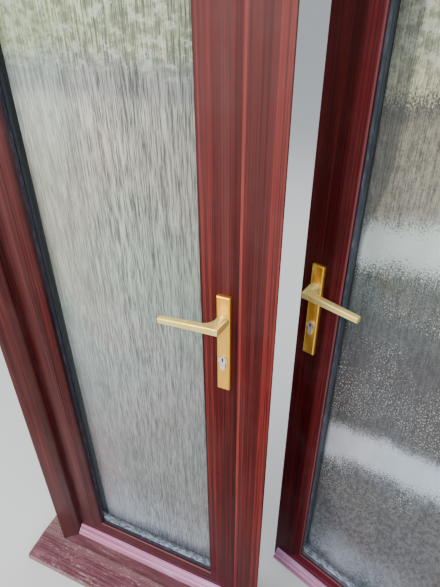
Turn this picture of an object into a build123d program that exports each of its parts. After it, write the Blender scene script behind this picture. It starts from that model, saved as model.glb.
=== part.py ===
from build123d import *
import os

os.makedirs("parts", exist_ok=True)

# A pair of inward-opening french doors in their frame, seen from outside: X runs right,
# Y runs inward, Z runs up. The origin is under the sill, midway between the jambs, in the
# plane of the frame's outer face. The left leaf is shut and the right leaf stands ajar.

# Frame and sill
frame_width = 1350
frame_height = 2090
frame_depth = 70
frame_face = 92
profile_wall = 3
flange_reach = 16
flange_thickness = 12
flange_chamfer = 2
frame_steel_start = 20
frame_steel_end = 58
score_width = 1.4
score_depth = 0.8
score_places = (5, 11)
sill_height = 35
sill_nose_height = 22
sill_nose_radius = 4
sill_projection = 92
sill_horn = 80
end_cap_thickness = 4
drip_groove = 4
drip_groove_place = 8

# Centre post
post_face = 68
post_body = 32
post_flat = 30
post_set_back = 2
post_bevel_drop = 5.3
post_overlap = 6
post_face_wall = 4
post_back_wall = 2.5
post_chamber = 40

# Leaves
leaf_set_back = 15
leaf_depth = 70
leaf_face = 88
leaf_overlap = 4
leg_reach = 20
leg_thickness = 10
bevel_width = 22.4
bevel_drop = 4.7
crease_width = 0.6
crease_depth = 0.8
nosing_width = 4
nosing_drop = 4.5
nosing_round = 0.3
ajar_angle = 18

# Glass
glass_cover = 18
glass_ledge = 17
pane_thickness = 4
pane_gap = 20
pane_edge_gap = 5
spacer_width = 7
gasket_thickness = 3
gasket_seat = 9
gasket_lip = 2.2
gasket_rise = 4.5
gasket_tip = 0.5
bead_edge = 7
bead_slope = 9
bead_joint = 0.1

# Seals and reinforcement
seal_width = 3
seal_gap = 0.3
seal_inset = 0.5
leaf_seal_width = 4
leaf_seal_place = 13
steel_wall = 1.5
steel_gap = 0.5
steel_end_gap = 4

# Weather bar
bar_top = 168.5
bar_bottom = 143
bar_projection = 24
bar_lip = 4.5
bar_wall = 2.5
bar_back_height = 20
bar_hinge_gap = 2
bar_lock_gap = 5

# Hinges
hinge_end_distance = 180
hinge_reach = 25
hinge_rise = 14
knuckle_radius = 8
knuckle_length = 44
knuckle_gap = 1
pin_radius = 3.5
pin_gap = 0.05
pin_head_radius = 6.5
pin_head_height = 2.5
hinge_plate_thickness = 4
hinge_plate_length = 100
hinge_plate_clearance = 10
frame_plate_width = 34
leaf_plate_width = 40
leaf_plate_inset = 2
web_foot = (-2, -6.4)
frame_web_root = (-7.2, 2)
leaf_web_root = (4.8, 5.6)

# Handles
plate_middle_height = 1100
plate_width = 26
plate_height = 220
plate_thickness = 9
plate_bevel = 2
spindle_above_plate_middle = 60
lock_centres = 92
backset = 36
lever_reach = 49
lever_length = 120
lever_gap = 0.3
neck_width = 22
collar_radius = 12.4
collar_thickness = 2
elbow_height = 14
elbow_thickness = 14
tip_height = 11.5
tip_thickness = 12.5
elbow_inset = 5
bend_radius = 20
grip_droop = 6
grip_edge = 1.5
boss_radius = 8
boss_gap = 0.2
spindle_side = 8
spindle_grip = 18
trim_margin = 1

# Lock
case_depth = 55
case_thickness = 15
case_wall = 1.5
case_gap = 0.3
case_above_spindle = 28
case_below_cylinder = 32
faceplate_width = 16
faceplate_thickness = 2.5
faceplate_margin = 40
bolt_thickness = 11.5
bolt_height = 20
bolt_gap = 0.3
latch_reach = 8
latch_length = 25
latch_ramp = 5
tail_thickness = 6
tail_height = 5
tail_clearance = 1
lug_thickness = 3.5
lug_height = 8
lug_clearance = 1.5
riser_width = 5
deadbolt_drop = 60
deadbolt_length = 32
deadbolt_recess = 1
hub_radius = 8.5
journal_radius = 7.5
journal_gap = 0.1
arm_width = 6
arm_radius = 15
keep_thickness = 2
keep_width = 20
keep_margin = 20

# Cylinder
cylinder_radius = 8.5
cylinder_drop = 24.5
cylinder_web = 10
cylinder_stand = 3
cylinder_gap = 0.3
plug_radius = 6.5
plug_gap = 0.05
cam_radius = 14
cam_width = 8
cam_thickness = 10
cam_gap = 0.3
key_slot_width = 2.2
key_slot_height = 8
key_slot_depth = 14

# Wall fixings
fixing_radius = 5
fixing_count = 4
fixing_spacing = 550
fixing_first_height = 250

# Places worked out from the sizes above
jamb_x = frame_width / 2
frame_bottom = sill_height
frame_top = sill_height + frame_height
platform = frame_face - flange_reach
leaf_hinge_x = -(jamb_x - frame_face + leaf_overlap)
leaf_lock_x = -(post_face / 2 - post_overlap)
leaf_bottom = frame_bottom + frame_face - leaf_overlap
leaf_top = frame_top - frame_face + leaf_overlap
leaf_outer_y = leaf_set_back
leaf_inner_y = leaf_set_back + leaf_depth
case_y = (leaf_outer_y + leaf_inner_y) / 2
hinge_x = leaf_hinge_x - hinge_reach
hinge_y = leaf_inner_y + hinge_rise
hinge_heights = (
    leaf_bottom + hinge_end_distance,
    (leaf_bottom + leaf_top) / 2,
    leaf_top - hinge_end_distance,
)
rebate_floor = leaf_face - glass_cover
pane_place = rebate_floor + pane_edge_gap
outer_pane_y = leaf_outer_y + glass_ledge + gasket_thickness
inner_pane_y = outer_pane_y + pane_thickness + pane_gap
bead_depth = inner_pane_y + pane_thickness + gasket_thickness - leaf_outer_y
sash_wall_line = glass_ledge + 1
lock_x = leaf_lock_x - backset
spindle_height = plate_middle_height + spindle_above_plate_middle
cylinder_height = spindle_height - lock_centres
deadbolt_height = spindle_height - deadbolt_drop
case_low = cylinder_height - case_below_cylinder
case_high = spindle_height + case_above_spindle
keep_low = deadbolt_height - bolt_height / 2 - keep_margin
keep_high = spindle_height + bolt_height / 2 + keep_margin
fixing_heights = [
    frame_bottom + fixing_first_height + i * fixing_spacing for i in range(fixing_count)
]
ajar_place = Pos(-hinge_x, hinge_y, 0) * Rot(0, 0, -ajar_angle) * Pos(hinge_x, -hinge_y, 0)


# The sides of an upright rectangle, clockwise from the left one: start, end, inward
def rectangle_sides(left, right, bottom, top, y):
    corners = (
        Vector(left, y, bottom),
        Vector(left, y, top),
        Vector(right, y, top),
        Vector(right, y, bottom),
    )
    inward = (Vector(1, 0, 0), Vector(0, 0, -1), Vector(-1, 0, 0), Vector(0, 0, 1))
    return [(corners[i], corners[(i + 1) % 4], inward[i]) for i in range(4)]


frame_sides = rectangle_sides(-jamb_x, jamb_x, frame_bottom, frame_top, 0)
leaf_sides = rectangle_sides(leaf_hinge_x, leaf_lock_x, leaf_bottom, leaf_top, leaf_outer_y)


# One mitred length along a side; the profile's X runs inward and its Y runs with the depth
def mitred_length(profile, side, overrun=0, joint=0):
    start, end, inward = side
    along = (end - start).normalized()
    first_cut = Plane(origin=start + along * joint / 2, z_dir=along - inward)
    last_cut = Plane(origin=end - along * joint / 2, z_dir=-along - inward)
    with BuildPart() as length:
        with BuildSketch(Plane(origin=start - along * overrun, x_dir=inward, z_dir=along)):
            add(profile)
        extrude(amount=(end - start).length + 2 * overrun)
        split(bisect_by=first_cut, keep=Keep.TOP)
        split(bisect_by=last_cut, keep=Keep.TOP)
    return length


# Square-cut steel tubes along the sides of a rectangle
def steel_tubes(sides, middle, size, end_gap):
    with BuildPart() as tubes:
        for start, end, inward in sides:
            along = (end - start).normalized()
            with BuildSketch(Plane(origin=start + along * end_gap, x_dir=inward, z_dir=along)):
                with Locations(middle):
                    Rectangle(size[0], size[1])
                    Rectangle(size[0] - 2 * steel_wall, size[1] - 2 * steel_wall, mode=Mode.SUBTRACT)
            extrude(amount=(end - start).length - 2 * end_gap)
    return tubes


# An upright rectangular ring between y and y + thickness, from its outer edges
def ring(left, right, bottom, top, width, y, thickness):
    with BuildPart() as band:
        with BuildSketch(Plane.XZ.offset(-y)):
            with Locations(((left + right) / 2, (bottom + top) / 2)):
                Rectangle(right - left, top - bottom)
                Rectangle(right - left - 2 * width, top - bottom - 2 * width, mode=Mode.SUBTRACT)
        extrude(amount=-thickness)
    return band


# The same ring round a leaf, its outer edge a given distance in from the leaf's edge
def leaf_ring(place, width, y, thickness):
    return ring(
        leaf_hinge_x + place,
        leaf_lock_x - place,
        leaf_bottom + place,
        leaf_top - place,
        width,
        y,
        thickness,
    )


# The pear-shaped outline of the lock cylinder, grown by a gap
def pear(gap):
    web_length = cylinder_drop - cylinder_web / 2
    with BuildSketch() as outline:
        Circle(cylinder_radius + gap)
        with Locations((0, -web_length / 2)):
            Rectangle(cylinder_web + 2 * gap, web_length)
        with Locations((0, -web_length)):
            Circle(cylinder_web / 2 + gap)
    return outline.sketch


# Frame profile: a flanged box with a face chamber and three chambers behind it, the middle
# one for steel, and two scored lines near the outer edge
def frame_profile():
    wall = profile_wall
    back = frame_depth - wall
    chambers = (
        (wall, frame_face - flange_chamfer - wall, wall, flange_thickness - wall),
        (wall, frame_steel_start - wall, flange_thickness, back),
        (frame_steel_start, frame_steel_end, flange_thickness, back),
        (frame_steel_end + wall, platform - wall, flange_thickness, back),
    )
    with BuildSketch() as profile:
        with BuildLine():
            Polyline(
                (0, 0),
                (frame_face - flange_chamfer, 0),
                (frame_face, flange_chamfer),
                (frame_face, flange_thickness),
                (platform, flange_thickness),
                (platform, frame_depth),
                (0, frame_depth),
                close=True,
            )
        make_face()
        for start, end, near, far in chambers:
            with Locations(((start + end) / 2, (near + far) / 2)):
                Rectangle(end - start, far - near, mode=Mode.SUBTRACT)
        with Locations(*[(place, 0) for place in score_places]):
            Rectangle(score_width, 2 * score_depth, mode=Mode.SUBTRACT)
    return profile.sketch


# Sash profile, from its edge to the glass: a flat face, a crease, a bevel and a round nosing,
# the ledge and the rebate for the glass, and the leg that overlaps the frame inside
def sash_profile():
    wall = profile_wall
    bevel_start = leaf_face - nosing_width - bevel_width
    nosing_start = leaf_face - nosing_width
    bevel_end_depth = crease_depth + bevel_drop
    nosing_depth = bevel_end_depth + crease_depth
    nosing_end = nosing_depth + nosing_drop
    inner_wall_line = leaf_depth - 2 * wall - leg_thickness
    chambers = (
        (wall, rebate_floor - wall, wall, sash_wall_line - wall),
        (rebate_floor, nosing_start, nosing_depth + wall, glass_ledge - wall),
        (wall, rebate_floor - wall, sash_wall_line, inner_wall_line),
        (wall, rebate_floor - wall, inner_wall_line + wall, leaf_depth - wall),
    )
    with BuildSketch() as profile:
        with BuildLine():
            Polyline(
                (nosing_start, nosing_depth),
                (nosing_start, bevel_end_depth),
                (bevel_start, crease_depth),
                (bevel_start - crease_width, 0),
                (0, 0),
                (0, leaf_depth - leg_thickness),
                (-leg_reach, leaf_depth - leg_thickness),
                (-leg_reach, leaf_depth),
                (rebate_floor, leaf_depth),
                (rebate_floor, glass_ledge),
                (leaf_face, glass_ledge),
                (leaf_face, nosing_end),
            )
            ThreePointArc(
                (leaf_face, nosing_end),
                (leaf_face - nosing_round * nosing_width, nosing_depth + nosing_round * nosing_drop),
                (nosing_start, nosing_depth),
            )
        make_face()
        for start, end, near, far in chambers:
            with Locations(((start + end) / 2, (near + far) / 2)):
                Rectangle(end - start, far - near, mode=Mode.SUBTRACT)
    return profile.sketch


# Everything that the lock needs cut out of the lock stile and its steel
def lock_cutter():
    pocket_depth = case_depth + case_gap
    pocket_height = case_high - case_low + 2 * case_gap
    faceplate_height = case_high - case_low + 2 * faceplate_margin
    middle_z = (case_low + case_high) / 2
    with BuildPart() as cutter:
        with Locations((leaf_lock_x - pocket_depth / 2, case_y, middle_z)):
            Box(pocket_depth, case_thickness + 2 * case_gap, pocket_height)
        with Locations((leaf_lock_x - faceplate_thickness / 2, case_y, middle_z)):
            Box(faceplate_thickness, faceplate_width, faceplate_height)
        with BuildSketch(Plane.XZ.offset(-leaf_outer_y)):
            with Locations((lock_x, spindle_height)):
                Circle(boss_radius + boss_gap)
            with Locations((lock_x, cylinder_height)):
                add(pear(cylinder_gap))
        extrude(amount=-leaf_depth)
    return cutter


cutter = lock_cutter()


# Fixing holes through one jamb, on the side given by the sign
def fixing_cutter(side):
    with BuildPart() as holes:
        with BuildSketch(Plane.YZ.offset(side * jamb_x)):
            with Locations(*[(frame_depth / 2, height) for height in fixing_heights]):
                Circle(fixing_radius)
        extrude(amount=-side * platform)
    return holes


def frame_lengths():
    profile = frame_profile()
    names = ("frame_jamb_left", "frame_head", "frame_jamb_right", "frame_bottom_rail")
    lengths = {}
    for name, side in zip(names, frame_sides):
        with BuildPart() as length:
            add(mitred_length(profile, side).part)
            if name == "frame_jamb_left":
                add(fixing_cutter(-1).part, mode=Mode.SUBTRACT)
            if name == "frame_jamb_right":
                add(fixing_cutter(1).part, mode=Mode.SUBTRACT)
        lengths[name] = length
    return lengths


# The windows that the bolts pass through, from the post's middle to one side or to both
def bolt_windows(left, right):
    with BuildPart() as windows:
        with Locations(
            ((left + right) / 2, case_y, spindle_height),
            ((left + right) / 2, case_y, deadbolt_height),
        ):
            Box(right - left, bolt_thickness + 2 * bolt_gap, bolt_height + 2 * bolt_gap)
    return windows


# Fixed post: a box behind a face that is bevelled to both sides and overlaps both leaves
def centre_post():
    half = post_face / 2
    middle_y = (flange_thickness + frame_depth) / 2
    depth = frame_depth - flange_thickness
    chamber_near = post_set_back + post_face_wall
    chamber_far = flange_thickness - post_back_wall
    with BuildPart() as post:
        with BuildSketch(Plane.XY.offset(frame_bottom + platform)):
            with Locations((0, middle_y)):
                Rectangle(post_body, depth)
                Rectangle(
                    post_body - 2 * profile_wall, depth - 2 * profile_wall, mode=Mode.SUBTRACT
                )
        extrude(amount=frame_height - 2 * platform)
        with BuildSketch(Plane.XY.offset(frame_bottom + frame_face)):
            with BuildLine():
                Polyline(
                    (-half, flange_thickness),
                    (-half, post_set_back + post_bevel_drop),
                    (-post_flat / 2, post_set_back),
                    (post_flat / 2, post_set_back),
                    (half, post_set_back + post_bevel_drop),
                    (half, flange_thickness),
                    close=True,
                )
            make_face()
            with Locations((0, (chamber_near + chamber_far) / 2)):
                Rectangle(post_chamber, chamber_far - chamber_near, mode=Mode.SUBTRACT)
        extrude(amount=frame_height - 2 * frame_face)
        for side in (-1, 1):
            with Locations(
                (side * (post_body - keep_thickness) / 2, case_y, (keep_low + keep_high) / 2)
            ):
                Box(keep_thickness, keep_width, keep_high - keep_low, mode=Mode.SUBTRACT)
        add(bolt_windows(-post_body / 2, post_body / 2).part, mode=Mode.SUBTRACT)
    return post


# Steel tubes in the five lengths of the frame
def frame_steels():
    middle = (
        (frame_steel_start + frame_steel_end) / 2,
        (flange_thickness + frame_depth - profile_wall) / 2,
    )
    size = (
        frame_steel_end - frame_steel_start - 2 * steel_gap,
        frame_depth - profile_wall - flange_thickness - 2 * steel_gap,
    )
    post_width = post_body - 2 * profile_wall - 2 * steel_gap
    post_depth = frame_depth - flange_thickness - 2 * profile_wall - 2 * steel_gap
    with BuildPart() as steels:
        add(steel_tubes(frame_sides, middle, size, frame_steel_end + steel_end_gap).part)
        with BuildSketch(Plane.XY.offset(frame_bottom + platform + steel_end_gap)):
            with Locations((0, (flange_thickness + frame_depth) / 2)):
                Rectangle(post_width, post_depth)
                Rectangle(
                    post_width - 2 * steel_wall, post_depth - 2 * steel_wall, mode=Mode.SUBTRACT
                )
        extrude(amount=frame_height - 2 * platform - 2 * steel_end_gap)
        add(bolt_windows(-post_body / 2, post_body / 2).part, mode=Mode.SUBTRACT)
        for side in (-1, 1):
            add(fixing_cutter(side).part, mode=Mode.SUBTRACT)
    return steels


# Height of the sill's sloping top at a distance in front of the frame
def sill_top(distance):
    return sill_height - (sill_height - sill_nose_height) * distance / sill_projection


def sill_outline():
    with BuildSketch() as outline:
        with BuildLine():
            Polyline(
                (frame_depth, 0),
                (frame_depth, sill_height),
                (0, sill_height),
                (-sill_projection, sill_nose_height),
                (-sill_projection, 0),
                close=True,
            )
        make_face()
        nose = outline.vertices().group_by(Axis.X)[0].sort_by(Axis.Y)[-1]
        fillet(nose, radius=sill_nose_radius)
    return outline.sketch


def sill():
    wall = profile_wall
    groove_y = -sill_projection + drip_groove_place + drip_groove / 2
    front_ends = (
        (wall, sill_projection / 2 - wall),
        (sill_projection / 2, sill_projection - drip_groove_place - drip_groove - wall),
    )
    with BuildPart() as body:
        with BuildSketch(Plane.YZ.offset(-jamb_x - sill_horn)):
            add(sill_outline())
            with Locations((groove_y, 0)):
                Rectangle(drip_groove, 2 * drip_groove, mode=Mode.SUBTRACT)
            for near, far in ((wall, frame_depth / 2 - wall / 2),
                              (frame_depth / 2 + wall / 2, frame_depth - wall)):
                with Locations(((near + far) / 2, sill_height / 2)):
                    Rectangle(far - near, sill_height - 2 * wall, mode=Mode.SUBTRACT)
            for near, far in front_ends:
                with BuildLine():
                    Polyline(
                        (-near, wall),
                        (-near, sill_top(near) - wall),
                        (-far, sill_top(far) - wall),
                        (-far, wall),
                        close=True,
                    )
                make_face(mode=Mode.SUBTRACT)
        extrude(amount=frame_width + 2 * sill_horn)
    return body


def sill_end_caps():
    end_x = jamb_x + sill_horn
    with BuildPart() as caps:
        for x in (-end_x - end_cap_thickness, end_x):
            with BuildSketch(Plane.YZ.offset(x)):
                add(sill_outline())
            extrude(amount=end_cap_thickness)
    return caps


# Black bulb seal behind the flange, round the left leaf's opening
def frame_seal():
    place = leaf_overlap - seal_inset
    reach = seal_width + seal_inset
    return ring(
        leaf_hinge_x + leaf_overlap - reach,
        leaf_lock_x - post_overlap + reach,
        leaf_bottom + place + seal_inset - reach,
        leaf_top - place - seal_inset + reach,
        seal_width,
        flange_thickness,
        leaf_set_back - flange_thickness - seal_gap,
    )


def keep():
    middle_x = -(post_body - keep_thickness) / 2
    with BuildPart() as plate:
        with Locations((middle_x, case_y, (keep_low + keep_high) / 2)):
            Box(keep_thickness, keep_width, keep_high - keep_low)
        add(bolt_windows(-post_body / 2, 0).part, mode=Mode.SUBTRACT)
    return plate


# Half a hinge at each hinge height: a screwed plate, a web and a bored knuckle, all given
# from the hinge's axis
def hinge_halves(plate_near, plate_far, plate_y, web, knuckle_start):
    plate_middle_y = plate_y + hinge_plate_thickness / 2
    with BuildPart() as halves:
        for height in hinge_heights:
            with Locations((hinge_x + (plate_near + plate_far) / 2, plate_middle_y, height)):
                Box(abs(plate_far - plate_near), hinge_plate_thickness, hinge_plate_length)
            with BuildSketch(Plane.XY.offset(height + knuckle_start)):
                with Locations((hinge_x, hinge_y)):
                    Circle(knuckle_radius)
                    Polygon(*web, align=None)
                    Circle(pin_radius + pin_gap, mode=Mode.SUBTRACT)
            extrude(amount=knuckle_length)
    return halves


def frame_hinge_halves():
    plate_drop = hinge_y - frame_depth - hinge_plate_thickness / 2
    web = (
        (-hinge_plate_clearance - frame_plate_width / 2, -plate_drop),
        (-hinge_plate_clearance, -plate_drop),
        web_foot,
        frame_web_root,
    )
    return hinge_halves(
        -hinge_plate_clearance,
        -hinge_plate_clearance - frame_plate_width,
        frame_depth,
        web,
        -knuckle_gap / 2 - knuckle_length,
    )


def leaf_hinge_halves():
    plate_drop = hinge_rise - hinge_plate_thickness / 2
    plate_start = hinge_reach - leg_reach + leaf_plate_inset
    web = (
        (plate_start, -plate_drop),
        (plate_start + leaf_plate_width / 2, -plate_drop),
        leaf_web_root,
        web_foot,
    )
    return hinge_halves(
        plate_start, plate_start + leaf_plate_width, leaf_inner_y, web, knuckle_gap / 2
    )


# Pins fixed in the frame halves, with a head at both ends
def hinge_pins():
    half_length = knuckle_length + knuckle_gap / 2
    with BuildPart() as pins:
        for height in hinge_heights:
            with Locations((hinge_x, hinge_y, height)):
                Cylinder(pin_radius, 2 * half_length)
            with Locations(
                (hinge_x, hinge_y, height - half_length - pin_head_height / 2),
                (hinge_x, hinge_y, height + half_length + pin_head_height / 2),
            ):
                Cylinder(pin_head_radius, pin_head_height)
    return pins


def both_hands(piece):
    with BuildPart() as pair:
        add(piece.part)
        mirror(piece.part, about=Plane.YZ)
    return pair


def mirrored(piece):
    with BuildPart() as copy:
        mirror(piece.part, about=Plane.YZ)
    return copy


# The right leaf's piece: the left one mirrored, then swung inward about the right hinges
def right_hand(piece):
    copy = mirrored(piece)
    with BuildPart() as swung:
        with Locations(ajar_place):
            add(copy.part)
    return swung


def leaf_lengths():
    profile = sash_profile()
    names = ("hinge_stile", "top_rail", "lock_stile", "bottom_rail")
    lengths = {}
    for name, side in zip(names, leaf_sides):
        with BuildPart() as length:
            add(mitred_length(profile, side, overrun=leg_reach).part)
            if name == "lock_stile":
                add(cutter.part, mode=Mode.SUBTRACT)
        lengths[name] = length
    return lengths


def leaf_steels():
    near = sash_wall_line
    far = leaf_depth - 2 * profile_wall - leg_thickness
    middle = (rebate_floor / 2, (near + far) / 2)
    size = (rebate_floor - 2 * profile_wall - 2 * steel_gap, far - near - 2 * steel_gap)
    with BuildPart() as steels:
        add(steel_tubes(leaf_sides, middle, size, rebate_floor + steel_end_gap).part)
        add(cutter.part, mode=Mode.SUBTRACT)
    return steels


def panes():
    width = leaf_lock_x - leaf_hinge_x - 2 * pane_place
    height = leaf_top - leaf_bottom - 2 * pane_place
    with BuildPart() as unit:
        with Locations(
            *[
                ((leaf_hinge_x + leaf_lock_x) / 2, y + pane_thickness / 2, (leaf_bottom + leaf_top) / 2)
                for y in (outer_pane_y, inner_pane_y)
            ]
        ):
            Box(width, pane_thickness, height)
    return unit


# Wedge gaskets between the panes and what holds them: a seat in the rebate and a lip that
# slopes from the profile's edge down to the glass, outside against the sash, inside the bead
def glazing_gaskets():
    with BuildPart() as gaskets:
        for glass_depth, outward in (
            (outer_pane_y - leaf_outer_y, -1),
            (inner_pane_y + pane_thickness - leaf_outer_y, 1),
        ):
            seat_depth = glass_depth + outward * gasket_thickness
            with BuildSketch() as profile:
                with BuildLine():
                    Polyline(
                        (leaf_face - gasket_seat, glass_depth),
                        (leaf_face + gasket_lip, glass_depth),
                        (leaf_face + gasket_lip, glass_depth + outward * gasket_tip),
                        (leaf_face, seat_depth + outward * gasket_rise),
                        (leaf_face, seat_depth),
                        (leaf_face - gasket_seat, seat_depth),
                        close=True,
                    )
                make_face()
            for side in leaf_sides:
                add(mitred_length(profile.sketch, side).part)
    return gaskets


# Clip-in beads on the inner side, four mitred lengths with a sloping face
def glazing_beads():
    with BuildSketch() as profile:
        with BuildLine():
            Polyline(
                (rebate_floor, bead_depth),
                (leaf_face, bead_depth),
                (leaf_face, bead_depth + bead_edge),
                (leaf_face - bead_slope, leaf_depth),
                (rebate_floor, leaf_depth),
                close=True,
            )
        make_face()
    with BuildPart() as beads:
        for side in leaf_sides:
            add(mitred_length(profile.sketch, side, joint=bead_joint).part)
    return beads


# Rain deflector: a back flange on the rail, a sloping top, a drip lip and closed ends
def weather_bar():
    front = leaf_outer_y - bar_projection
    left = leaf_hinge_x + leaf_overlap + bar_hinge_gap
    right = leaf_lock_x - post_overlap - bar_lock_gap
    with BuildPart() as bar:
        for start in (left, right - bar_wall):
            with BuildSketch(Plane.YZ.offset(start)):
                with BuildLine():
                    Polyline(
                        (leaf_outer_y, bar_top),
                        (leaf_outer_y - 2 * bar_wall, bar_top),
                        (front, bar_bottom + bar_lip),
                        (front, bar_bottom),
                        (front + bar_wall, bar_bottom),
                        (leaf_outer_y, bar_top - bar_back_height),
                        close=True,
                    )
                make_face()
            extrude(amount=bar_wall)
        with BuildSketch(Plane.YZ.offset(left)):
            with BuildLine():
                Polyline(
                    (leaf_outer_y, bar_top),
                    (leaf_outer_y - 2 * bar_wall, bar_top),
                    (front, bar_bottom + bar_lip),
                    (front, bar_bottom),
                    (front + bar_wall, bar_bottom),
                    (front + bar_wall, bar_bottom + bar_lip - bar_wall / 2),
                    (leaf_outer_y - bar_wall, bar_top - 2 * bar_wall),
                    (leaf_outer_y - bar_wall, bar_top - bar_back_height),
                    (leaf_outer_y, bar_top - bar_back_height),
                    close=True,
                )
            make_face()
        extrude(amount=right - left)
    return bar


# Backplate on one face of the leaf; outward is -1 outside and 1 inside
def backplate(face_y, outward):
    with BuildPart() as plate:
        with BuildSketch(Plane.XZ.offset(-face_y)):
            with Locations((lock_x, plate_middle_height)):
                Rectangle(plate_width, plate_height)
            with Locations((lock_x, spindle_height)):
                Circle(boss_radius + boss_gap, mode=Mode.SUBTRACT)
            with Locations((lock_x, cylinder_height)):
                add(pear(cylinder_gap), mode=Mode.SUBTRACT)
        extrude(amount=-outward * plate_thickness)
        front_face = plate.faces().filter_by(Axis.Y).sort_by(Axis.Y)[-1 if outward > 0 else 0]
        chamfer(front_face.outer_wire().edges(), plate_bevel)
    return plate


# Lever: a boss through the backplate, a round collar that flows into a broad neck, a bend and
# a tapering grip that droops
def lever(face_y, outward):
    neck_start = plate_thickness + lever_gap
    elbow_x = neck_width / 2 - elbow_inset
    tip_x = elbow_x - lever_length
    bend_x = -neck_width / 2 - bend_radius
    inner_reach = lever_reach - elbow_thickness
    diagonal = bend_radius / 2**0.5
    taper = (elbow_height - tip_height) / 2

    def place(x, reach):
        return (lock_x + x, face_y + outward * reach)

    def across(x, z):
        return (lock_x + x, spindle_height + z)

    with BuildPart() as handle:
        with BuildSketch(Plane.XY.offset(spindle_height - 2 * elbow_height)):
            with BuildLine():
                Polyline(
                    place(bend_x, inner_reach),
                    place(tip_x, lever_reach - tip_thickness),
                    place(tip_x, lever_reach),
                    place(elbow_x, lever_reach),
                    place(neck_width / 2, neck_start),
                    place(-neck_width / 2, neck_start),
                    place(-neck_width / 2, inner_reach - bend_radius),
                )
                ThreePointArc(
                    place(-neck_width / 2, inner_reach - bend_radius),
                    place(bend_x + diagonal, inner_reach - bend_radius + diagonal),
                    place(bend_x, inner_reach),
                )
            make_face()
        extrude(amount=3 * elbow_height)
        with BuildSketch(Plane.XZ.offset(-face_y)):
            with BuildLine():
                Polyline(
                    across(neck_width / 2 + trim_margin, elbow_height / 2),
                    across(neck_width / 2 + trim_margin, -elbow_height / 2),
                    across(-neck_width / 2, -elbow_height / 2),
                    across(tip_x - trim_margin, -elbow_height / 2 + taper - grip_droop),
                    across(tip_x - trim_margin, elbow_height / 2 - taper - grip_droop),
                    across(-neck_width / 2, elbow_height / 2),
                    close=True,
                )
            make_face()
        extrude(amount=-outward * (lever_reach + trim_margin), mode=Mode.INTERSECT)
        long_edges = handle.edges().filter_by(lambda edge: edge.length > lever_length / 2)
        chamfer(long_edges, grip_edge)
        with BuildSketch(Plane.XY.offset(spindle_height)):
            with BuildLine():
                Polyline(
                    place(0, neck_start),
                    place(collar_radius, neck_start),
                    place(collar_radius, neck_start + collar_thickness),
                    place(elbow_height / 2, inner_reach),
                    place(0, inner_reach),
                    close=True,
                )
            make_face()
        revolve(axis=Axis((lock_x, 0, spindle_height), (0, 1, 0)))
        with BuildSketch(Plane.XZ.offset(-face_y)):
            with Locations((lock_x, spindle_height)):
                Circle(boss_radius)
        extrude(amount=-outward * neck_start)
        with Locations((lock_x, face_y, spindle_height)):
            Box(spindle_side, 2 * spindle_grip, spindle_side, mode=Mode.SUBTRACT)
    return handle


def spindle():
    with BuildPart() as bar:
        with Locations((lock_x, case_y, spindle_height)):
            Box(spindle_side, leaf_depth + 2 * spindle_grip, spindle_side)
    return bar


# Turned by the spindle inside the case; its arm draws the latch bolt
def follower():
    inner_thickness = case_thickness - 2 * case_wall - 2 * case_gap
    with BuildPart() as hub:
        with BuildSketch(Plane.XZ.offset(-case_y + inner_thickness / 2)):
            with Locations((lock_x, spindle_height)):
                Circle(hub_radius)
            with Locations((lock_x, spindle_height + arm_radius / 2)):
                Rectangle(arm_width, arm_radius)
        extrude(amount=-inner_thickness)
        with BuildSketch(Plane.XZ.offset(-case_y + case_thickness / 2)):
            with Locations((lock_x, spindle_height)):
                Circle(journal_radius)
        extrude(amount=-case_thickness)
        with Locations((lock_x, case_y, spindle_height)):
            Box(spindle_side, case_thickness, spindle_side, mode=Mode.SUBTRACT)
    return hub


# Folded case with its faceplate let into the stile's edge
def lock_case():
    middle_z = (case_low + case_high) / 2
    height = case_high - case_low
    length = case_depth - faceplate_thickness
    middle_x = leaf_lock_x - faceplate_thickness - length / 2
    with BuildPart() as case:
        with Locations((middle_x, case_y, middle_z)):
            Box(length, case_thickness, height)
            Box(
                length - 2 * case_wall,
                case_thickness - 2 * case_wall,
                height - 2 * case_wall,
                mode=Mode.SUBTRACT,
            )
        with Locations((leaf_lock_x - faceplate_thickness / 2, case_y, middle_z)):
            Box(faceplate_thickness, faceplate_width, height + 2 * faceplate_margin)
        with BuildSketch(Plane.XZ.offset(-leaf_outer_y)):
            with Locations((lock_x, spindle_height)):
                Circle(journal_radius + journal_gap)
            with Locations((lock_x, cylinder_height)):
                add(pear(cylinder_gap))
        extrude(amount=-leaf_depth, mode=Mode.SUBTRACT)
        window_end = leaf_lock_x - faceplate_thickness - case_wall - trim_margin
        add(bolt_windows(window_end, leaf_lock_x).part, mode=Mode.SUBTRACT)
    return case


# Latch bolt: a ramped head, and a tail over the follower that ends in the lug it pulls
def latch_bolt():
    head_end = leaf_lock_x + latch_reach - latch_length
    head_middle = leaf_lock_x + latch_reach - latch_length / 2
    tail_low = spindle_height + arm_radius + tail_clearance
    lug_face = lock_x - arm_width / 2 - lug_clearance
    tail_end = lug_face - lug_thickness
    with BuildPart() as bolt:
        with Locations((head_middle, case_y, spindle_height)):
            Box(latch_length, bolt_thickness, bolt_height)
        ramp_edge = bolt.edges().filter_by(Axis.Z).group_by(Axis.X)[-1].sort_by(Axis.Y)[0]
        chamfer(ramp_edge, latch_ramp)
        with Locations(((tail_end + head_end + riser_width) / 2, case_y, tail_low + tail_height / 2)):
            Box(head_end + riser_width - tail_end, tail_thickness, tail_height)
        riser_height = tail_low - spindle_height
        with Locations((head_end + riser_width / 2, case_y, spindle_height + riser_height / 2)):
            Box(riser_width, tail_thickness, riser_height)
        with Locations((lug_face - lug_thickness / 2, case_y, tail_low - lug_height / 2)):
            Box(lug_thickness, tail_thickness, lug_height)
    return bolt


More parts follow.
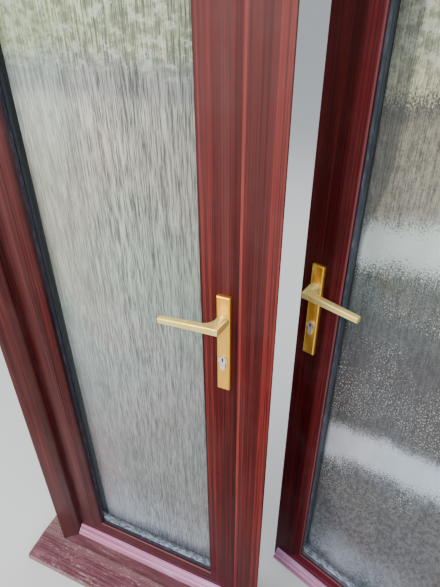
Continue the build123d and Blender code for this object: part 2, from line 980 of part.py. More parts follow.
def deadbolt():
    middle_x = leaf_lock_x - deadbolt_recess - deadbolt_length / 2
    with BuildPart() as bolt:
        with Locations((middle_x, case_y, deadbolt_height)):
            Box(deadbolt_length, bolt_thickness, bolt_height)
    return bolt


# Pear-shaped body through the leaf, bored for the plugs, with a gap in the middle for the cam
def cylinder_body():
    length = leaf_depth + 2 * (plate_thickness + cylinder_stand)
    gap_thickness = cam_thickness + 2 * cam_gap
    cut_height = cylinder_radius + cam_radius + 2 * cam_gap
    with BuildPart() as body:
        with BuildSketch(Plane.XZ.offset(-case_y + length / 2)):
            with Locations((lock_x, cylinder_height)):
                add(pear(0))
                Circle(plug_radius + plug_gap, mode=Mode.SUBTRACT)
        extrude(amount=-length)
        with Locations((lock_x, case_y, cylinder_height + (cylinder_radius - cam_radius) / 2)):
            Box(2 * (cylinder_radius + trim_margin), gap_thickness, cut_height, mode=Mode.SUBTRACT)
    return body


# Outer plug, inner plug and the cam between them, turning together
def cylinder_plugs():
    length = leaf_depth + 2 * (plate_thickness + cylinder_stand)
    plug_length = (length - cam_thickness) / 2
    with BuildPart() as plugs:
        with BuildSketch(Plane.XZ.offset(-case_y + length / 2)):
            with Locations((lock_x, cylinder_height)):
                Circle(plug_radius)
        extrude(amount=-length)
        with BuildSketch(Plane.XZ.offset(-case_y + cam_thickness / 2)):
            with Locations((lock_x, cylinder_height)):
                Circle(cylinder_radius)
            with Locations((lock_x, cylinder_height - cam_radius / 2)):
                Rectangle(cam_width, cam_radius)
            with Locations((lock_x, cylinder_height)):
                Circle(cam_radius, mode=Mode.INTERSECT)
        extrude(amount=-cam_thickness)
        end_distance = length / 2 - key_slot_depth / 2
        with Locations(
            (lock_x, case_y - end_distance, cylinder_height),
            (lock_x, case_y + end_distance, cylinder_height),
        ):
            Box(key_slot_width, key_slot_depth, key_slot_height, mode=Mode.SUBTRACT)
    return plugs


def leaf_pieces():
    pieces = leaf_lengths()
    pieces["steels"] = leaf_steels()
    pieces["panes"] = panes()
    pieces["spacer_bar"] = leaf_ring(
        leaf_face - spacer_width, spacer_width, outer_pane_y + pane_thickness, pane_gap
    )
    pieces["glazing_gaskets"] = glazing_gaskets()
    pieces["glazing_beads"] = glazing_beads()
    pieces["leaf_seal"] = leaf_ring(
        -leaf_seal_place - leaf_seal_width,
        leaf_seal_width,
        frame_depth + seal_gap,
        leaf_inner_y - leg_thickness - frame_depth - seal_gap,
    )
    pieces["weather_bar"] = weather_bar()
    pieces["leaf_hinges"] = leaf_hinge_halves()
    pieces["outer_backplate"] = backplate(leaf_outer_y, -1)
    pieces["inner_backplate"] = backplate(leaf_inner_y, 1)
    pieces["outer_lever"] = lever(leaf_outer_y, -1)
    pieces["inner_lever"] = lever(leaf_inner_y, 1)
    pieces["spindle"] = spindle()
    pieces["follower"] = follower()
    pieces["lock_case"] = lock_case()
    pieces["latch_bolt"] = latch_bolt()
    pieces["deadbolt"] = deadbolt()
    pieces["cylinder_body"] = cylinder_body()
    pieces["cylinder_plugs"] = cylinder_plugs()
    return pieces


def save(name, piece):
    piece.part.label = name
    export_step(piece.part, f"parts/{name}.step")


for name, piece in frame_lengths().items():
    save(name, piece)
save("centre_post", centre_post())
save("frame_steels", frame_steels())
save("sill", sill())
save("sill_end_caps", sill_end_caps())
save("frame_hinges", both_hands(frame_hinge_halves()))
save("hinge_pins", both_hands(hinge_pins()))
left_seal = frame_seal()
save("frame_seal_left", left_seal)
save("frame_seal_right", mirrored(left_seal))
left_keep = keep()
save("keep_left", left_keep)
save("keep_right", mirrored(left_keep))
for name, piece in leaf_pieces().items():
    save("left_" + name, piece)
    save("right_" + name, right_hand(piece))
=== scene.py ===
import math
import bmesh
import bpy
import numpy as np
from mathutils import Matrix, Vector


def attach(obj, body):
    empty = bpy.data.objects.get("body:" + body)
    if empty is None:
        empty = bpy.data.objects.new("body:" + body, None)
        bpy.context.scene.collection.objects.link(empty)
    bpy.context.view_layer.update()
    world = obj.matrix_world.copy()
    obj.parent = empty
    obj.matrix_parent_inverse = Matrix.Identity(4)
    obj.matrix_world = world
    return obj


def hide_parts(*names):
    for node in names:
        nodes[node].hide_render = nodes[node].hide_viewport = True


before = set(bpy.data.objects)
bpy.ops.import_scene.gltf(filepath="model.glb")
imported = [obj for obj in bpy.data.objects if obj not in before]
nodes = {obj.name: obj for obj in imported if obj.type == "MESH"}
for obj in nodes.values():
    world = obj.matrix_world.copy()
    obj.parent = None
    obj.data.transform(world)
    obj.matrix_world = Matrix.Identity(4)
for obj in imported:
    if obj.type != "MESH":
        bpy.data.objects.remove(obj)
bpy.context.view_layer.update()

scene = bpy.context.scene
print("frame loaded,", len(nodes), "nodes")

# Where the leaves are, in metres, all said for the left leaf; the right one is its mirror, swung ajar
leaf = {
    "hingeX": -0.612,
    "hingeY": 0.099,
    "left": -0.587,
    "right": -0.028,
    "bottom": 0.123,
    "top": 2.037,
    "face": 0.088,
    "ajar": math.radians(18),
    "lockX": -0.064,
    "cylinderZ": 1.068,
}
white = (1, 1, 1, 1)

# Camera at the photo's place and angle; the focal length is known in pixels of a 587-pixel-high picture
cameraLook = {
    "place": (0.212, -0.6274, 1.6704),
    "down": 33.16,
    "left": 23.93,
    "roll": -0.48,
    "focalPixels": 475,
    "pictureHeight": 587,
    "sensor": 36,
    "clip": (0.01, 600),
}


def addCamera(look):
    data = bpy.data.cameras.new("camera")
    data.sensor_width = look["sensor"]
    data.lens = look["sensor"] * look["focalPixels"] / look["pictureHeight"]
    data.clip_start, data.clip_end = look["clip"]
    camera = bpy.data.objects.new("camera", data)
    scene.collection.objects.link(camera)
    camera.matrix_world = (
        Matrix.Translation(look["place"])
        @ Matrix.Rotation(math.radians(look["left"]), 4, "Z")
        @ Matrix.Rotation(math.radians(90 - look["down"]), 4, "X")
        @ Matrix.Rotation(math.radians(look["roll"]), 4, "Z")
    )
    scene.camera = camera


addCamera(cameraLook)
print("camera placed")


# A socket that can be added, subtracted, multiplied and compared like a number
class Wire:
    def __init__(self, finish, socket):
        self.finish = finish
        self.socket = socket

    def combine(self, operation, first, second):
        return self.finish.node("ShaderNodeMath", {"operation": operation}, {0: first, 1: second})

    def __add__(self, other):
        return self.combine("ADD", self, other)

    def __radd__(self, other):
        return self.combine("ADD", other, self)

    def __sub__(self, other):
        return self.combine("SUBTRACT", self, other)

    def __rsub__(self, other):
        return self.combine("SUBTRACT", other, self)

    def __mul__(self, other):
        return self.combine("MULTIPLY", self, other)

    def __gt__(self, other):
        return self.combine("GREATER_THAN", self, other)

    def atMost(self, other):
        return self.combine("MINIMUM", self, other)

    def atLeast(self, other):
        return self.combine("MAXIMUM", self, other)


# One material; every node but the surface comes from node()
class Finish:
    # How far a seed of one moves a noise along each axis
    seedStep = (3.7, 1.9, 5.3)

    def __init__(self, name, **constants):
        self.material = bpy.data.materials.new(name)
        self.material.use_nodes = True
        self.tree = self.material.node_tree
        self.surface = self.tree.nodes["Principled BSDF"]
        for key, value in constants.items():
            self.surface.inputs[key.replace("_", " ")].default_value = value

    def node(self, kind, settings, inputs, output=0):
        made = self.tree.nodes.new(kind)
        for key, value in settings.items():
            if key == "stops":
                elements = made.color_ramp.elements
                while len(elements) < len(value):
                    elements.new(1)
                for element, (position, color) in zip(elements, value):
                    element.position = position
                    element.color = color if isinstance(color, tuple) else (color, color, color, 1)
            else:
                setattr(made, key, value)
        for key, value in inputs.items():
            if isinstance(value, Wire):
                self.tree.links.new(value.socket, made.inputs[key])
            else:
                made.inputs[key].default_value = value
        return Wire(self, made.outputs[output])

    def place(self):
        return self.node("ShaderNodeTexCoord", {}, {}, "Object")

    # Object coordinates as if the leaf were the left one, shut
    def leafPlace(self, side):
        if side == "left":
            return self.place()
        turn = Matrix.Rotation(-leaf["ajar"], 3, "Z")
        hinge = Vector((leaf["hingeX"], leaf["hingeY"], 0))
        return self.node("ShaderNodeMapping", {}, {
            "Vector": self.place(),
            "Location": hinge - turn @ hinge,
            "Rotation": (0, 0, -leaf["ajar"]),
            "Scale": (-1, 1, 1),
        })

    def noise(self, place, scale, seed, detail=2, roughness=0.5, distortion=0):
        shift = tuple(seed * step for step in self.seedStep)
        scaled = self.node("ShaderNodeMapping", {}, {"Vector": place, "Scale": scale, "Location": shift})
        return self.node("ShaderNodeTexNoise", {}, {
            "Vector": scaled,
            "Scale": 1,
            "Detail": detail,
            "Roughness": roughness,
            "Distortion": distortion,
        }, "Fac")

    def part(self, vector, axis):
        return self.node("ShaderNodeSeparateXYZ", {}, {0: vector}, axis)

    def ramp(self, value, stops):
        return self.node("ShaderNodeValToRGB", {"stops": stops}, {0: value})

    # From 0 at the first value to 1 at the second, smoothly, whichever is larger
    def level(self, value, start, end):
        return self.node("ShaderNodeMapRange", {"interpolation_type": "SMOOTHSTEP"},
                         {"Value": value, "From Min": start, "From Max": end})

    def near(self, value, middle, reach):
        return self.node("ShaderNodeMath", {"operation": "COMPARE"}, {0: value, 1: middle, 2: reach})

    # A pattern between 0 and 1 as a swing to both sides
    def sway(self, value, width):
        return (value - 0.5) * width

    def blend(self, first, second, share):
        return first * share + second * (1 - share)

    def rise(self, value, base, gain):
        return value * gain + base

    # A mix of colours goes in at the node's sockets 6 and 7 and comes out at 2
    def mix(self, factor, first, second, kind="MIX"):
        return self.node("ShaderNodeMix", {"data_type": "RGBA", "blend_type": kind},
                         {0: factor, 6: first, 7: second}, 2)

    def tinted(self, color, tint):
        return self.mix(1.0, color, tint, "MULTIPLY")

    # A few round spots, one in each chosen cell of a grid of random points, fading over their outer half
    def spots(self, place, density, size, share):
        inputs = {"Vector": place, "Scale": density}
        distance = self.node("ShaderNodeTexVoronoi", {"feature": "F1"}, inputs, "Distance")
        color = self.node("ShaderNodeTexVoronoi", {"feature": "F1"}, inputs, "Color")
        chosen = self.part(color, 0) > 1 - share
        edge = size * density
        return self.level(distance, edge, edge / 2) * chosen

    def bump(self, height, strength, distance):
        return self.node("ShaderNodeBump", {}, {"Height": height, "Strength": strength, "Distance": distance})

    def set(self, **values):
        for key, value in values.items():
            self.tree.links.new(value.socket, self.surface.inputs[key.replace("_", " ")])
        return self.material


def dress(material, *names):
    for name in names:
        mesh = nodes[name].data
        mesh.materials.clear()
        mesh.materials.append(material)


# Rosewood foil: long dark and red streaks with short dark pores. A streak is its scale across and along the
# grain, its detail and its roughness; heights are in metres.
foilLook = {
    "ior": 1.5,
    "streaks": [(52, 0.5, 2, 0.6), (360, 2.0, 2, 0.6), (900, 9, 1, 0.5)],
    "contrast": (0.36, 0.64),
    "broadShare": 0.36,
    "fineShare": 0.21,
    "lineShare": 0.09,
    "middle": 0.35,
    "tones": [(0.30, (0.028, 0.0042, 0.0046, 1)), (0.42, (0.060, 0.0080, 0.0082, 1)),
              (0.52, (0.095, 0.0108, 0.0108, 1)), (0.61, (0.172, 0.0235, 0.0215, 1)),
              (0.70, (0.265, 0.044, 0.041, 1)), (0.80, (0.37, 0.080, 0.063, 1))],
    "stripeSway": 0.004,
    "stripeShare": 0.62,
    "pores": (0.54, 0.64),
    "poreShare": 0.50,
    "pore": (0.020, 0.006, 0.006, 1),
    "lineTone": (0.7, 0.6),
    "heightSway": 0.6,
    # Painted sheen: a paler purplish grey higher up that stands for the sky's reflection, weaker on the right
    # leaf
    "sheenHeights": (0.9, 1.9),
    "sheenShare": {"left": 0.44, "right": 0.132, None: 0.44},
    "paintedSheen": (0.215, 0.105, 0.10, 1),
    "footHeights": (0.75, 0.10),
    "footShare": 0.44,
    "foot": (0.045, 0.0095, 0.016, 1),
    "frameFoot": (0.082, 0.038, 0.042, 1),
    "dustNoise": {"scale": (9, 9, 7), "detail": 4, "roughness": 0.65},
    "dustReach": (0.42, 0.75),
    "dust": (0.26, 0.19, 0.18, 1),
    "spots": {"density": 16, "size": 0.0019, "share": 0.16},
    "specks": (0.80, 0.76, 0.72, 1),
    "rough": (0.24, 0.10),
    "dustRough": 0.05,
    "dusty": 0.05,
    "fineHeight": 0.6,
    "poreDepth": 0.4,
    "bump": (0.10, 0.0004),
}
# Colour ramps over a profile's width run in tenths of a metre, and each piece of foil takes five seeds
profileUnits = 10
pieceSeeds = 5


def foilFinish(name, grain, seed, tint, gloss, side=None, edge=None, lightAndShade=None, stripesAndHighlights=None, lines=(),
               foot="foot", dusty=foilLook["dusty"]):
    look = foilLook
    finish = Finish(name, Specular_IOR_Level=gloss, IOR=look["ior"])
    place = finish.leafPlace(side) if side else finish.place()
    streaks = []
    for number, (across, along, detail, roughness) in enumerate(look["streaks"]):
        scale = (across, across, along) if grain == "up" else (along, across, across)
        streaks.append(finish.noise(place, scale, seed + number, detail, roughness))
    broad, fine, line = streaks
    tone = (finish.sway(broad, look["broadShare"]) + finish.level(fine, *look["contrast"]) * look["fineShare"]
            + finish.level(line, *look["contrast"]) * look["lineShare"] + look["middle"])
    if edge:
        axis, start, direction = edge
        distance = (finish.part(place, axis) - start) * direction
    # Stripes across the profile: grain, and painted highlights where the bevels catch the light
    if stripesAndHighlights:
        stripePlace = (distance + finish.sway(broad, look["stripeSway"])) * profileUnits
        tone = tone + finish.sway(finish.ramp(stripePlace, stripesAndHighlights), look["stripeShare"])
    color = finish.ramp(tone, look["tones"])
    pores = finish.level(finish.blend(line, fine, 0.5), *look["pores"])
    color = finish.mix(pores * look["poreShare"], color, look["pore"])
    # Painted light and shade across the profile
    if lightAndShade:
        color = finish.tinted(color, finish.ramp(distance * profileUnits, lightAndShade))
    color = finish.tinted(color, (*tint, 1))
    # Thin painted highlights along the length's edges and nosings
    for start, end, soft, strength, highlightColor in lines:
        band = (finish.level(distance, start - soft, start + soft)
                * finish.level(distance, end + soft, end - soft))
        color = finish.mix(band * finish.rise(fine, *look["lineTone"]) * strength, color, highlightColor)
    height = finish.part(place, 2) + finish.sway(broad, look["heightSway"])
    # Painted sheen of the sky, paler higher up, weaker on the right leaf that stands turned away
    paintedSheen = finish.level(height, *look["sheenHeights"]) * look["sheenShare"][side]
    color = finish.mix(paintedSheen, color, look["paintedSheen"])
    color = finish.mix(finish.level(height, *look["footHeights"]) * look["footShare"], color, look[foot])
    dust = finish.level(finish.noise(place, seed=seed + 4, **look["dustNoise"]), *look["dustReach"])
    color = finish.mix(dust * dusty, color, look["dust"])
    color = finish.mix(finish.spots(place, **look["spots"]), color, look["specks"])
    roughness = finish.rise(fine, *look["rough"]) + dust * (look["dustRough"] + dusty)
    relief = fine * look["fineHeight"] - pores * look["poreDepth"]
    return finish.set(Base_Color=color, Roughness=roughness, Normal=finish.bump(relief, *look["bump"]))


# Painted light and shade over a profile's width, with dark nosings, bevels and creases as painted shade and
# pale edges as painted highlights, and stripes of grain with painted highlights on the bevels, in tenths of a
# metre in from its outer edge
sashLightAndShade = [(0.0, 0.45), (0.012, 1.0), (0.600, 1.0), (0.612, 0.40), (0.622, 1.15), (0.826, 1.10),
              (0.834, 1.35), (0.846, 0.55), (0.870, 0.30)]
frameLightAndShade = [(0.0, 1.0), (0.50, 0.95), (0.66, 0.60), (0.90, 0.45), (0.912, 0.9)]
postLightAndShade = [(0.0, 0.95), (0.186, 1.0), (0.19, 0.95), (0.488, 0.95), (0.492, 1.1), (0.67, 1.05), (0.68, 0.5)]
postStripesAndHighlights = [(0.0, 0.80), (0.055, 0.78), (0.08, 0.52), (0.12, 0.50), (0.15, 0.64), (0.19, 0.56), (0.21, 0.40),
               (0.31, 0.42), (0.35, 0.38), (0.46, 0.42), (0.50, 0.64), (0.55, 0.56), (0.59, 0.50), (0.62, 0.66),
               (0.68, 0.68)]
lockStripesAndHighlights = {
    "left_lock_stile": [(0.0, 0.44), (0.09, 0.42), (0.20, 0.48), (0.36, 0.40), (0.46, 0.44), (0.52, 0.54),
                        (0.58, 0.60), (0.63, 0.65), (0.66, 0.62), (0.69, 0.44), (0.74, 0.42), (0.77, 0.60),
                        (0.81, 0.58), (0.84, 0.36)],
    "right_lock_stile": [(0.0, 0.46), (0.15, 0.40), (0.30, 0.52), (0.42, 0.42), (0.56, 0.53), (0.66, 0.47),
                         (0.76, 0.54), (0.82, 0.58), (0.84, 0.48)],
}

# Painted highlight lines along a length, where edges, score lines and nosings catch the light: start, end and
# softness in metres, strength and colour
frameHighlightLines = [(0.0, 0.0008, 0.0004, 0.7, (0.42, 0.24, 0.20, 1)),
              (0.0044, 0.0062, 0.0004, 0.6, (0.36, 0.20, 0.17, 1)),
              (0.0104, 0.0122, 0.0004, 0.5, (0.34, 0.19, 0.16, 1))]
nosingHighlightLines = {
    "left_bottom_rail": [(0.0842, 0.0866, 0.0005, 0.8, (0.52, 0.20, 0.22, 1))],
    "right_lock_stile": [(0.0838, 0.0868, 0.0006, 0.7, (0.26, 0.065, 0.080, 1))],
    "right_bottom_rail": [(0.0842, 0.0866, 0.0005, 0.7, (0.44, 0.15, 0.19, 1))],
}

# The way each length's grain runs, and its outer edge: axis, place and direction inwards
leafEdges = {
    "hinge_stile": ("up", (0, leaf["left"], 1)),
    "lock_stile": ("up", (0, leaf["right"], -1)),
    "top_rail": ("level", (2, leaf["top"], -1)),
    "bottom_rail": ("level", (2, leaf["bottom"], 1)),
}
frameEdges = {
    "frame_jamb_left": ("up", (0, -0.675, 1)),
    "frame_jamb_right": ("up", (0, 0.675, -1)),
    "frame_head": ("level", (2, 2.125, -1)),
}
postEdge = (0, -0.034, 1)

# Tint and gloss of each length. One foil, tinted per length as painted light and shade: the right leaf, ajar
# and turned away, is darker as painted shade, and the bottom rails are paler and bluer as painted reflection of
# the sky
leafLightAndShadeTints = {
    "left_hinge_stile": ((0.66, 0.50, 0.50), 0.12),
    "left_lock_stile": ((0.92, 0.61, 0.56), 0.06),
    "left_top_rail": ((0.9, 0.85, 0.85), 0.12),
    "left_bottom_rail": ((1.05, 1.0, 1.35), 0.12),
    "left_glazing_beads": ((0.9, 0.85, 0.85), 0.12),
    "right_hinge_stile": ((0.66, 0.30, 0.38), 0.12),
    "right_lock_stile": ((0.60, 0.19, 0.27), 0.10),
    "right_top_rail": ((0.62, 0.25, 0.33), 0.12),
    "right_bottom_rail": ((1.50, 1.15, 2.1), 0.14),
    "right_glazing_beads": ((0.66, 0.30, 0.38), 0.12),
}
frameTint = ((0.86, 0.95, 0.95), 0.04)
postTint = ((0.98, 0.67, 0.59), 0.06)
frameDust = 0.06

seed = 1
for side in ("left", "right"):
    for part, (grain, edge) in leafEdges.items():
        name = f"{side}_{part}"
        tint, gloss = leafLightAndShadeTints[name]
        dress(foilFinish("foil_" + name, grain, seed, tint, gloss, side, edge, sashLightAndShade,
                         lockStripesAndHighlights.get(name), nosingHighlightLines.get(name, ())), name)
        seed += pieceSeeds
    tint, gloss = leafLightAndShadeTints[side + "_glazing_beads"]
    dress(foilFinish(f"foil_{side}_beads", "up", seed, tint, gloss, side), side + "_glazing_beads")
    seed += pieceSeeds
tint, gloss = frameTint
for part, (grain, edge) in frameEdges.items():
    dress(foilFinish("foil_" + part, grain, seed, tint, gloss, None, edge, frameLightAndShade, None, frameHighlightLines,
                     "frameFoot", frameDust), part)
    seed += pieceSeeds
tint, gloss = postTint
dress(foilFinish("foil_centre_post", "up", seed, tint, gloss, None, postEdge, postLightAndShade, postStripesAndHighlights),
      "centre_post")
print("foil done")


# Weathered foil on the sill: dull purple-brown with lengthwise scratches and pale dirt, and a pale painted
# highlight along the sill's nose. The depths are those of the crease in front of the frame and of the sill's
# nose.
sillLook = {
    "gloss": 0.2,
    "lines": {"scale": (3, 260, 260), "seed": 40, "detail": 4, "roughness": 0.65},
    "patches": {"scale": (7, 22, 22), "seed": 41, "detail": 6, "roughness": 0.7},
    "grit": {"scale": (420, 420, 420), "seed": 42, "detail": 3, "roughness": 0.7},
    "scuffs": {"scale": (38, 150, 150), "seed": 43, "distortion": 1.6},
    "lineShare": 0.6,
    "contrast": (0.36, 0.64),
    "dark": (0.080, 0.023, 0.033, 1),
    "pale": (0.235, 0.088, 0.105, 1),
    "creaseDepths": (-0.026, 0.0),
    "noseDepths": (-0.088, -0.0915),
    "noseHighlight": 0.8,
    "dirtPatches": (0.52, 0.76),
    "dirtShare": 0.55,
    "dirtGrit": (0.40, 0.62),
    "dirtAndHighlight": (0.48, 0.34, 0.31, 1),
    "scratchLines": (0.60, 0.66),
    "scratchPatches": (0.44, 0.56),
    "scratchShare": 0.45,
    "scratch": (0.60, 0.47, 0.47, 1),
    "rough": (0.42, 0.35),
    "bump": (0.25, 0.0006),
}


def sillFinish(name, look, creaseDirt):
    finish = Finish(name, Specular_IOR_Level=look["gloss"])
    place = finish.place()
    lines = finish.noise(place, **look["lines"])
    patches = finish.noise(place, **look["patches"])
    grit = finish.noise(place, **look["grit"])
    tone = finish.level(finish.blend(lines, patches, look["lineShare"]), *look["contrast"])
    color = finish.mix(tone, look["dark"], look["pale"])
    depth = finish.part(place, 1)
    # Pale dirt in the crease, and a painted highlight along the nose, both in the same pale colour
    creaseDirtAndNoseHighlight = (finish.level(depth, *look["creaseDepths"]) * creaseDirt
              + finish.level(depth, *look["noseDepths"]) * look["noseHighlight"])
    dirtAndHighlight = finish.level(patches, *look["dirtPatches"]) * look["dirtShare"] + creaseDirtAndNoseHighlight
    dirtAndHighlight = (dirtAndHighlight * finish.level(grit, *look["dirtGrit"])).atMost(1)
    color = finish.mix(dirtAndHighlight, color, look["dirtAndHighlight"])
    scuffs = finish.noise(place, **look["scuffs"])
    scratch = finish.level(scuffs, *look["scratchLines"]) * finish.level(patches, *look["scratchPatches"])
    color = finish.mix(scratch * look["scratchShare"], color, look["scratch"])
    relief = finish.blend(lines, grit, 0.5)
    return finish.set(Base_Color=color, Roughness=finish.rise(dirtAndHighlight, *look["rough"]),
                      Normal=finish.bump(relief, *look["bump"]))


dress(sillFinish("sill_weathered", sillLook, 0.45), "sill", "sill_end_caps")
dress(sillFinish("rail_weathered", sillLook, 0.0), "frame_bottom_rail")

# Rain bars: paler mauve, partly their own colour and partly painted reflection of the sky on their upward
# faces, with fine lengthwise lines, paler towards the lock; the right bar is darker all over as painted shade
barLook = {
    "gloss": 0.3,
    "lines": {"scale": (1.2, 330, 330), "seed": 50, "detail": 3, "roughness": 0.6},
    "patches": {"scale": (9, 30, 30), "seed": 51, "detail": 5, "roughness": 0.6},
    "contrast": (0.36, 0.62),
    "dark": (0.26, 0.092, 0.140, 1),
    "pale": (0.68, 0.33, 0.49, 1),
    "dustReach": (0.5, 0.75),
    "dustShare": 0.35,
    "dust": (0.76, 0.52, 0.70, 1),
    "hingeTint": (1, 0.80, 0.92),
    "lockTint": (1.15, 1.15, 1.3),
    "paintedLight": {"left": 1.0, "right": 0.76},
    "rough": (0.36, 0.2),
    "bump": (0.2, 0.0004),
}


def barFinish(side, look):
    finish = Finish("rain_bar_" + side, Specular_IOR_Level=look["gloss"])
    place = finish.leafPlace(side)
    lines = finish.noise(place, **look["lines"])
    patches = finish.noise(place, **look["patches"])
    color = finish.mix(finish.level(lines, *look["contrast"]), look["dark"], look["pale"])
    color = finish.mix(finish.level(patches, *look["dustReach"]) * look["dustShare"], color, look["dust"])
    along = finish.level(finish.part(place, 0), leaf["left"], leaf["right"])
    # The right bar is darker as painted shade
    hingeTint, lockTint = ((*(look["paintedLight"][side] * share for share in look[key]), 1)
                           for key in ("hingeTint", "lockTint"))
    color = finish.tinted(color, finish.mix(along, hingeTint, lockTint))
    return finish.set(Base_Color=color, Roughness=finish.rise(patches, *look["rough"]),
                      Normal=finish.bump(lines, *look["bump"]))


for side in ("left", "right"):
    dress(barFinish(side, barLook), side + "_weather_bar")
print("sill and rain bars done")

# Clear panes with a strong skin reflection, and faint smudges
paneLook = {
    "ior": 2.1,
    "smudge": {"scale": (6, 6, 4), "seed": 58, "detail": 3, "roughness": 0.6},
    "clean": (0.020, 0.034, 0.030, 1),
    "smudged": (0.034, 0.046, 0.042, 1),
    "alpha": (0.05, 0.07),
    "rough": (0.03, 0.08),
}


def paneFinish(look):
    finish = Finish("pane_glass", IOR=look["ior"])
    smudge = finish.noise(finish.place(), **look["smudge"])
    return finish.set(Base_Color=finish.mix(smudge, look["clean"], look["smudged"]),
                      Alpha=finish.rise(smudge, *look["alpha"]), Roughness=finish.rise(smudge, *look["rough"]))


dress(paneFinish(paneLook), "left_panes", "right_panes")

# Condensation on the inner pane: fine upright runs over broad soft tones that hold painted reflections of the
# surroundings, with a painted reflection of the garden's leaves high up and white mottles at the foot. Heights
# and places across are in metres; each share is a strength between 0 and 1.
filmLook = {
    "gloss": 0.4,
    "streakShare": 0.72,
    "streakReach": (0.43, 0.56),
    "mottleHeights": (0.6, 0.95),
    "mottleShare": 0.6,
    "mottleReach": (0.40, 0.60),
    "paleReach": (-0.22, -0.50),
    "leanFrom": -0.15,
    "cloudSway": 0.10,
    "reflectionBlue": (0.66, 0.98),
    "reflectionTone": (0.75, 0.25),
    "hueReach": (0.42, 0.58),
    "greyReach": (-0.34, -0.14),
    "greySway": 0.2,
    "greyShade": (0.19, 0.24, 0.21, 1),
    "tuftReach": (0.36, 0.64),
    "tuft": (0.87, 0.89, 0.88, 1),
    "gardenReflectionHeights": (1.53, 1.58),
    "gardenReflectionSway": 0.1,
    "gardenReflectionTones": [((0.50, 0.40), 0.55, (0.15, 0.20, 0.12, 1)), ((0.53, 0.62), 0.60, (0.86, 0.90, 0.78, 1))],
    "shadeHeights": (1.25, 1.42),
    "shadeWidth": 0.032,
    "shadeFrom": -0.122,
    "shadeSoft": 0.004,
    "shadeShare": 0.6,
    "shade": (0.07, 0.08, 0.085, 1),
    "footHeights": (0.46, 0.22),
    "footReach": (0.42, 0.60),
    "footShare": 0.75,
    "foot": (0.58, 0.64, 0.74, 1),
    "beltLow": (0.42, 0.6),
    "beltHigh": (1.24, 1.1),
    "speckClouds": (0.44, 0.58),
    "speck": (0.84, 0.85, 0.84, 1),
    "coverGain": 0.08,
    "rough": (0.38, 0.2),
    "bump": (0.20, 0.0005),
}
# The film's noises in the order of their seeds
filmNoises = {
    "streaks": {"scale": (720, 720, 19), "roughness": 0.6, "distortion": 0.2},
    "runs": {"scale": (230, 230, 5), "roughness": 0.6, "distortion": 0.2},
    "clouds": {"scale": (6, 6, 5), "detail": 3, "roughness": 0.55},
    "grain": {"scale": (330, 330, 260), "roughness": 0.6},
    "hues": {"scale": (4.2, 4.2, 3)},
    "leaves": {"scale": (46, 46, 60), "detail": 4, "roughness": 0.65},
    "mottles": {"scale": (120, 120, 75), "detail": 3, "roughness": 0.65},
    "tufts": {"scale": (16, 16, 9), "detail": 3, "roughness": 0.6},
}
# Each leaf's own film. The tones' places are heights in units of two metres, the colours those of the palest
# film: the film's own tone with painted reflections of sky, garden and surroundings over it, the pale bluish
# bands being painted reflections of the sky; mottled is the share of mottles high up and low down, and specks
# are their reach and strength.
toneUnits = 0.5
filmSides = {
    "left": {
        "seed": 60,
        "dark": 0.11,
        "cover": 0.90,
        "lean": 0,
        "ragged": 0.05,
        "mottled": (0.10, 0.15),
        "footShare": 0.5,
        "paler": 0.52,
        "greyShadeShare": 0.30,
        "hues": ((1.0, 0.94, 0.90, 1), (0.92, 1.0, 0.95, 1)),
        "specks": (0.62, 0.70, 0.25),
        "tones": [(0.105, (0.64, 0.67, 0.90, 1)), (0.15, (0.60, 0.60, 0.70, 1)), (0.225, (0.50, 0.44, 0.47, 1)),
                  (0.375, (0.55, 0.53, 0.55, 1)), (0.475, (0.66, 0.68, 0.69, 1)), (0.60, (0.74, 0.77, 0.66, 1)),
                  (0.70, (0.92, 0.85, 0.75, 1)), (0.752, (1.0, 0.96, 0.86, 1)), (0.764, (0.68, 0.66, 0.69, 1)),
                  (0.782, (0.70, 0.71, 0.66, 1)), (0.796, (0.92, 0.97, 0.62, 1)), (1.0, (0.80, 0.92, 0.58, 1))],
    },
    "right": {
        "seed": 70,
        "dark": 0.22,
        "cover": 0.92,
        "lean": 0.22,
        "ragged": 0.13,
        "mottled": (0.45, 0.85),
        "footShare": 1,
        "paler": 0,
        "greyShadeShare": 0,
        "hues": ((1.0, 0.93, 0.88, 1), (0.94, 1.0, 1.0, 1)),
        "specks": (0.58, 0.66, 0.9),
        "tones": [(0.105, (0.36, 0.40, 0.48, 1)), (0.175, (0.22, 0.21, 0.24, 1)), (0.30, (0.19, 0.17, 0.18, 1)),
                  (0.318, (0.22, 0.22, 0.25, 1)), (0.336, (0.80, 0.86, 1.0, 1)), (0.380, (0.80, 0.86, 1.0, 1)),
                  (0.396, (0.16, 0.15, 0.16, 1)), (0.50, (0.13, 0.11, 0.12, 1)), (0.600, (0.21, 0.25, 0.24, 1)),
                  (0.616, (0.80, 0.96, 1.0, 1)), (0.648, (0.80, 0.96, 1.0, 1)), (0.660, (0.46, 0.46, 0.38, 1)),
                  (0.732, (0.52, 0.50, 0.41, 1)), (0.746, (0.20, 0.21, 0.20, 1)), (0.762, (0.98, 1.0, 0.70, 1)),
                  (0.80, (0.88, 0.98, 0.70, 1)), (1.0, (0.76, 0.86, 0.60, 1))],
    },
}


# The share of the pattern that is pale, from 0 in a run's shade to 1
def filmPattern(finish, look, own, noises, height, across):
    streaks = finish.blend(noises["streaks"], noises["runs"], look["streakShare"])
    mottles = finish.blend(noises["mottles"], noises["grain"], look["mottleShare"])
    high, low = own["mottled"]
    mottled = low + finish.level(height, *look["mottleHeights"]) * (high - low)
    pattern = (finish.level(streaks, *look["streakReach"]) * (1 - mottled)
               + finish.level(mottles, *look["mottleReach"]) * mottled)
    return pattern.atLeast(finish.level(across, *look["paleReach"]) * own["paler"])


